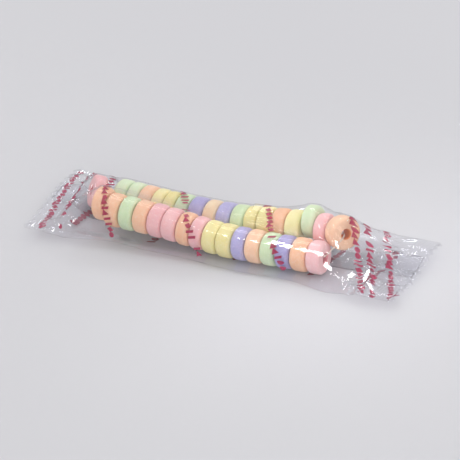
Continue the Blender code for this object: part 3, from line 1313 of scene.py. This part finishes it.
        tooth = np.abs((v * 0.5 + 0.5) * self.teeth % 1.0 - 0.5) * 2.0
        cut = smooth((np.abs(x) - 0.5 * self.length + self.tooth_reach) / self.tooth_reach)
        x = x - np.sign(x) * self.tooth_depth * tooth * cut
        self.slack = np.maximum(self.least_slack, slack * blend(self.taut_slack, 1.0, end))
        self.top = np.stack((x, y, top), axis=-1)
        self.bottom = np.stack((x, y, bottom), axis=-1)

    def fold(
        self, x: np.ndarray, y: np.ndarray, top: np.ndarray, bottom: np.ndarray, slack: np.ndarray,
    ) -> tuple[np.ndarray, np.ndarray]:
        """Press the folds and the seals' ribs into both films.

        Args:
            x: places along the bag.
            y: places across it.
            top: the upper film's heights.
            bottom: the lower film's heights.
            slack: how loose the upper film is, from 0 on a bead to 1.

        Returns:
            The new heights of both films.
        """
        past_seal = np.abs(x) - (0.5 * self.length - self.seal_length)
        in_seal = smooth((past_seal + 0.5 * self.seal_edge) / self.seal_edge)
        end = self.fold_ends.share(x)
        depth = np.clip((top - bottom - self.film_gap) / self.open_depth, 0.0, 1.0)

        shared = total_rise(SHARED_FIELDS, x, y) + total_rise(LONG_FOLDS, x, y)
        shared = shared * end * blend(1.0, self.seal_fold_share, in_seal)
        upper = np.abs(total_rise(UPPER_FIELDS, x, y)) * slack * blend(self.close_fold_share, 1.0, depth)
        lower = total_rise(LOWER_END_FIELDS, x, y) * self.lower_fold_ends.share(x)
        lower = np.abs(lower + TABLE_FIELD.rise(x, y))
        rib_turn = past_seal / (self.seal_length / self.ribs)
        rib = self.rib_depth * (4.0 * np.abs(rib_turn - np.round(rib_turn)) - 1.0) * in_seal
        free = 1.0 - in_seal
        return top + shared + upper * free + rib, bottom + shared - lower * free + rib

    def build(self) -> bpy.types.Object:
        """Build the film as two grids bridged round their edge.

        Returns:
            The bag, a closed shell that faces out.
        """
        self.shape()
        last = self.top.shape[0] - 1
        mesh = bmesh.new()
        looseness = mesh.verts.layers.float.new("film_slack")
        bmesh.ops.create_grid(mesh, x_segments=last, y_segments=self.strips, size=0.5)
        whole = mesh.verts[:] + mesh.edges[:] + mesh.faces[:]
        copied = bmesh.ops.duplicate(mesh, geom=whole)["geom"]
        lower = [item for item in copied if isinstance(item, bmesh.types.BMVert)]
        turned_faces = [item for item in copied if isinstance(item, bmesh.types.BMFace)]
        bmesh.ops.reverse_faces(mesh, faces=turned_faces)
        bmesh.ops.translate(mesh, verts=lower, vec=(0.0, 0.0, -self.sheet_step))
        bmesh.ops.bridge_loops(mesh, edges=[edge for edge in mesh.edges if edge.is_boundary])
        for vert in mesh.verts:
            station = round((vert.co.x + 0.5) * last)
            strip = round((vert.co.y + 0.5) * self.strips)
            in_upper = vert.co.z > -0.5 * self.sheet_step
            vert.co = Vector((self.top if in_upper else self.bottom)[station, strip])
            vert[looseness] = self.slack[station, strip] if in_upper else self.lower_slack
        bmesh.ops.recalc_face_normals(mesh, faces=mesh.faces[:])
        piece = link_piece(mesh, "clear_film_bag", ClearFilm().material())
        return dress(piece, stands_for=True)

    def point(self, x: float, reach: float, upper: bool, lift: float) -> Vector:
        """Find a point on the film by its place along the bag and its distance over the film.

        Args:
            x: the place along the bag.
            reach: the distance from the middle line, measured over the film, +Y positive.
            upper: True for the upper film, False for the lower one.
            lift: how far outside the film the point stands.

        Returns:
            The point.
        """
        grid = self.top if upper else self.bottom
        middle = self.strips // 2
        row = float(np.interp(x, self.stations(), np.arange(grid.shape[0])))
        first = min(int(row), grid.shape[0] - 2)
        found = []
        for station in (first, first + 1):
            line = grid[station]
            lengths = np.concatenate(([0.0], np.cumsum(np.linalg.norm(np.diff(line, axis=0), axis=1))))
            column = float(np.interp(reach, lengths - lengths[middle], np.arange(len(line))))
            start = min(int(column), len(line) - 2)
            step = line[start + 1] - line[start]
            found += [Vector(blend(line[start], line[start + 1], column - start)), Vector(step)]
        near, near_step, far, far_step = found
        normal = (far - near).cross(near_step + far_step).normalized()
        outward = normal if upper else -normal
        return near.lerp(far, row - first) + outward * lift


DASH_LEAN = 0.3
LEAF_TAPER = 0.7
LEAF_CURL = 0.2


class Motif(Enum):
    """The plain little figures of the print, each with its share of the width and of the height."""

    DIAMOND = (0.38, 0.48)
    DOT = (0.68, 0.68)
    DASH = (0.34, 0.95)
    WEDGE = (0.42, 0.9)
    LEAF = (0.55, 0.95)

    def place(self, u: float, v: float) -> tuple[float, float]:
        """Map a point of the square from -1 to 1 into the figure.

        Args:
            u: the point across the figure.
            v: the point up it.

        Returns:
            The mapped point, within about the same square.
        """
        wide, high = self.value
        if self is Motif.DIAMOND:
            return wide * (u - v), high * (u + v)
        if self is Motif.DOT:
            return wide * u * math.sqrt(1.0 - 0.5 * v * v), high * v * math.sqrt(1.0 - 0.5 * u * u)
        if self is Motif.DASH:
            return wide * u + DASH_LEAN * v, high * v
        if self is Motif.WEDGE:
            return wide * u * (1.0 - v), high * v
        return wide * u * (1.0 - LEAF_TAPER * v * v) + LEAF_CURL * v * v, high * v


@dataclass(frozen=True)
class PrintRow:
    """One row of marks: where it crosses the middle line, in millimetres, its slant and its film."""

    crossing: float
    slant: float
    upper: bool = True


PRINT_ROWS = (
    PrintRow(-59.6, -0.10), PrintRow(-54.2, -0.15), PrintRow(-41.2, -0.36), PrintRow(-14.6, -0.60),
    PrintRow(14.6, -0.60), PrintRow(43.8, -0.50), PrintRow(48.1, -0.50), PrintRow(54.4, -0.50),
    PrintRow(-50.0, 0.20, False), PrintRow(-22.0, 0.30, False), PrintRow(7.0, 0.30, False),
    PrintRow(33.0, 0.25, False), PrintRow(52.0, 0.25, False),
)


@dataclass
class FilmPrint:
    """Rows of small dark red marks that repeat along the film and run across it."""

    bag: FilmBag
    rows: tuple[PrintRow, ...] = PRINT_ROWS
    height: float = 2.6 * MM
    pitch: float = 1.55 * MM
    lift: float = 0.035 * MM
    cells: int = 4
    margin: float = 1.2 * MM
    lower_reach: float = 8.0 * MM
    gap_chance: float = 0.08
    scales: tuple[float, float] = (0.85, 1.05)
    seed: int = 41

    def reach(self, row: PrintRow) -> float:
        """Measure how far a row runs to each side of the middle line.

        Args:
            row: the row.

        Returns:
            The distance over the film.
        """
        if not row.upper:
            return self.lower_reach
        nearest = int(np.argmin(np.abs(self.bag.stations() - row.crossing * MM)))
        lengths = np.cumsum(np.linalg.norm(np.diff(self.bag.top[nearest], axis=0), axis=1))
        return 0.5 * lengths[-1] - self.margin

    def build(self) -> bpy.types.Object:
        """Lay every mark on the film as a thin patch that follows it.

        Returns:
            The print, riding on the bag's body.
        """
        rng = random.Random(self.seed)
        mesh = bmesh.new()
        for row in self.rows:
            reach = self.reach(row)
            for index in range(int(2.0 * reach / self.pitch)):
                if rng.random() < self.gap_chance:
                    continue
                across = (index + 0.5) * self.pitch - reach
                self.add_mark(mesh, rng.choice(list(Motif)), row, across, rng.uniform(*self.scales))
        return dress(link_piece(mesh, "film_print_marks", FlexoInk().material()))

    def add_mark(
        self, mesh: bmesh.types.BMesh, motif: Motif, row: PrintRow, across: float, scale: float,
    ) -> None:
        """Add one mark.

        Args:
            mesh: the print's bmesh.
            motif: the mark's figure.
            row: the row that it stands in.
            across: its place over the film, from the middle line.
            scale: its size against the row's height.
        """
        before = set(mesh.verts)
        bmesh.ops.create_grid(mesh, x_segments=self.cells, y_segments=self.cells, size=1.0)
        half = 0.5 * self.height * scale
        for vert in [vert for vert in mesh.verts if vert not in before]:
            along, up = motif.place(vert.co.x, vert.co.y)
            x = row.crossing * MM + row.slant * across + up * half
            vert.co = self.bag.point(x, across + along * half, row.upper, self.lift)


@dataclass
class FinSeal:
    """The lengthwise seal on the underside: a narrow double strip, folded flat to one side."""

    bag: FilmBag
    width: float = 9.0 * MM
    fold_y: float = -1.5 * MM
    thickness: float = 0.05 * MM
    inset: float = 0.4 * MM
    film_gap: float = 0.08 * MM
    table_gap: float = 0.1 * MM
    curl: float = 0.03 * MM
    curl_reach: float = 2.1 * MM
    steps: int = 120
    strips: int = 12

    def build(self) -> bpy.types.Object:
        """Build the strip as a thin closed shell that follows the lower film.

        Returns:
            The strip, riding on the bag's body.
        """
        mesh = bmesh.new()
        bmesh.ops.create_grid(mesh, x_segments=self.steps, y_segments=self.strips, size=0.5)
        half = 0.5 * self.bag.length - self.inset - self.bag.tooth_depth
        stations = self.bag.stations()
        for vert in mesh.verts:
            x = 2.0 * half * vert.co.x
            share = vert.co.y + 0.5
            y = self.fold_y + self.width * share
            line = self.bag.bottom[int(np.argmin(np.abs(stations - x)))]
            film = float(np.interp(y, line[:, 1], line[:, 2]))
            curl = self.curl * math.sin(x / self.curl_reach) * share
            vert.co = Vector((x, y, max(film - self.film_gap - curl, self.table_gap)))
        bmesh.ops.recalc_face_normals(mesh, faces=mesh.faces[:])
        whole = mesh.verts[:] + mesh.edges[:] + mesh.faces[:]
        bmesh.ops.solidify(mesh, geom=whole, thickness=self.thickness)
        bmesh.ops.recalc_face_normals(mesh, faces=mesh.faces[:])
        return dress(link_piece(mesh, "film_fin_seal", ClearFilm().material()))


@dataclass(frozen=True)
class Lamp:
    """A rectangular lamp: its middle, its length along the rows, its width across them, its watts.

    It faces the camera's aim unless it has its own, and its grid lets through its beam's angle.
    """

    name: str
    place: Vector
    size: tuple[float, float]
    power: float
    aim: Optional[Vector] = None
    beam: float = math.pi


SOFTBOXES = (
    Lamp("softbox_top", Vector((-0.25, 0.05, 1.3)), (1.8, 1.8), 2.1),
    Lamp("softbox_front", Vector((0.9, -1.3, 0.75)), (1.3, 1.1), 8.6),
)
WINDOWS = (
    Lamp("window_left", Vector((-1.1, -0.2, 0.7)), (0.16, 0.3), 1.4),
    Lamp("window_back", Vector((0.1, 1.0, 0.8)), (0.3, 0.14), 2.2),
    Lamp("window_right", Vector((1.0, 0.3, 0.8)), (0.14, 0.3), 2.0),
    Lamp("strip_back", Vector((-0.42, 0.62, 0.98)), (0.5, 0.05), 0.4),
)


@dataclass(frozen=True)
class Glint:
    """A bright patch that a flat place of the film mirrors to the camera, and its lamp's measures."""

    name: str
    spot: Vector
    normal: Vector
    size: tuple[float, float]
    radiance: float
    beam: float = math.radians(6.0)
    away: float = 0.7

    def lamp(self, eye: Vector) -> Lamp:
        """Set out the lamp at the angle at which the film mirrors it.

        Args:
            eye: the camera's place.

        Returns:
            The lamp, with the power that gives its face the radiance through its grid.
        """
        view = (eye - self.spot).normalized()
        normal = self.normal.normalized()
        mirrored = 2.0 * normal.dot(view) * normal - view
        gridded = 1.0 - 0.5 * self.beam / math.tan(0.5 * self.beam)
        power = math.pi * self.size[0] * self.size[1] * self.radiance * gridded
        return Lamp(self.name, self.spot + mirrored * self.away, self.size, power, self.spot, self.beam)


GLINTS = (
    Glint(
        "glint_front_row", Vector((39.0, -8.65, 10.0)) * MM, STREAK.normal, (0.056, 0.05), 44.0,
        beam=math.radians(10.0), away=0.35,
    ),
    Glint("glint_end_bead", END_BLOB.middle, END_BLOB.normal, (0.06, 0.06), 36.0),
    Glint("glint_last_bead", LAST_BLOB.middle, LAST_BLOB.normal, (0.06, 0.06), 36.0),
    Glint(
        "glint_right_end", Vector((50.0, -6.0, FLANK_HEIGHT_MM)) * MM, RIGHT_FLANK, (0.12, 0.12), 60.0,
        beam=math.radians(8.0),
    ),
    Glint(
        "glint_left_end", Vector((-53.0, -1.5, FLANK_HEIGHT_MM)) * MM, LEFT_FLANK, (0.1, 0.1), 40.0,
        beam=math.radians(8.0),
    ),
    Glint(
        "glint_back_row", BACK_VEIL.middle, BACK_VEIL.normal, (0.12, 0.12), 3.6,
        beam=math.radians(12.0),
    ),
)


@dataclass
class Studio:
    """A pale floor, soft light from above, small lamps for the film's glints, and the camera."""

    back: Vector = field(default_factory=lambda: Vector((0.45, -0.704, 0.55)).normalized())
    roll: float = math.radians(-8.1)
    distance: float = 1.75
    lens: float = 452.0
    sensor: float = 36.0
    aim: Vector = field(default_factory=lambda: Vector((0.0, 0.0, 5.0)) * MM)
    floor_size: float = 6.0
    fill_colour: str = "F3F2F1"
    fill_strength: float = 0.84

    def build(self) -> None:
        """Make the floor, the world, the lamps and the camera."""
        eye = self.aim + self.back * self.distance
        self.add_floor()
        self.add_world()
        for lamp in (*SOFTBOXES, *(glint.lamp(eye) for glint in GLINTS), *WINDOWS):
            self.add_lamp(lamp)
        self.add_camera(eye)

    def add_floor(self) -> None:
        """Lay the studio paper under the bag."""
        mesh = bmesh.new()
        bmesh.ops.create_grid(mesh, x_segments=1, y_segments=1, size=0.5 * self.floor_size)
        floor = link_piece(mesh, "studio_floor", PaleFloor().material())

    def add_world(self) -> None:
        """Fill the room with even pale light."""
        world = bpy.data.worlds.new("studio_fill")
        world.use_nodes = True
        background = world.node_tree.nodes["Background"]
        background.inputs["Color"].default_value = linear_colour(self.fill_colour)
        background.inputs["Strength"].default_value = self.fill_strength
        bpy.context.scene.world = world
        bpy.context.scene.view_settings.view_transform = "Standard"

    def add_lamp(self, lamp: Lamp) -> None:
        """Hang one lamp.

        Args:
            lamp: its measures.
        """
        data = bpy.data.lights.new(lamp.name, "AREA")
        data.shape = "RECTANGLE"
        data.size, data.size_y = lamp.size
        data.energy = lamp.power
        data.spread = lamp.beam
        hung = bpy.data.objects.new(lamp.name, data)
        hung.location = lamp.place
        outward = (lamp.place - (lamp.aim or self.aim)).normalized()
        along = (Vector((1.0, 0.0, 0.0)) - outward * outward.x).normalized()
        hung.rotation_euler = Matrix((along, outward.cross(along), outward)).transposed().to_euler()
        bpy.context.scene.collection.objects.link(hung)

    def add_camera(self, eye: Vector) -> None:
        """Set the camera at the angle that shows both rows, turned so that they slope to the right.

        Args:
            eye: its place.
        """
        data = bpy.data.cameras.new("camera")
        data.lens = self.lens
        data.sensor_width = self.sensor
        camera = bpy.data.objects.new("camera", data)
        camera.location = eye
        turn = self.back.to_track_quat("Z", "Y") @ Quaternion((0.0, 0.0, 1.0), self.roll)
        camera.rotation_euler = turn.to_euler()
        bpy.context.scene.collection.objects.link(camera)
        bpy.context.scene.camera = camera


def main() -> None:
    """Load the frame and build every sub-assembly in order."""
    logging.basicConfig(level=logging.INFO, format="%(name)s: %(message)s")
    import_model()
    layout = NecklaceLayout()
    beads = SugarBeads(layout)
    beads.build()
    ElasticThread(layout, beads).build()
    bag = FilmBag(layout, beads)
    bag.build()
    FinSeal(bag).build()
    FilmPrint(bag).build()
    Studio().build()


if __name__ == "__main__":
    main()
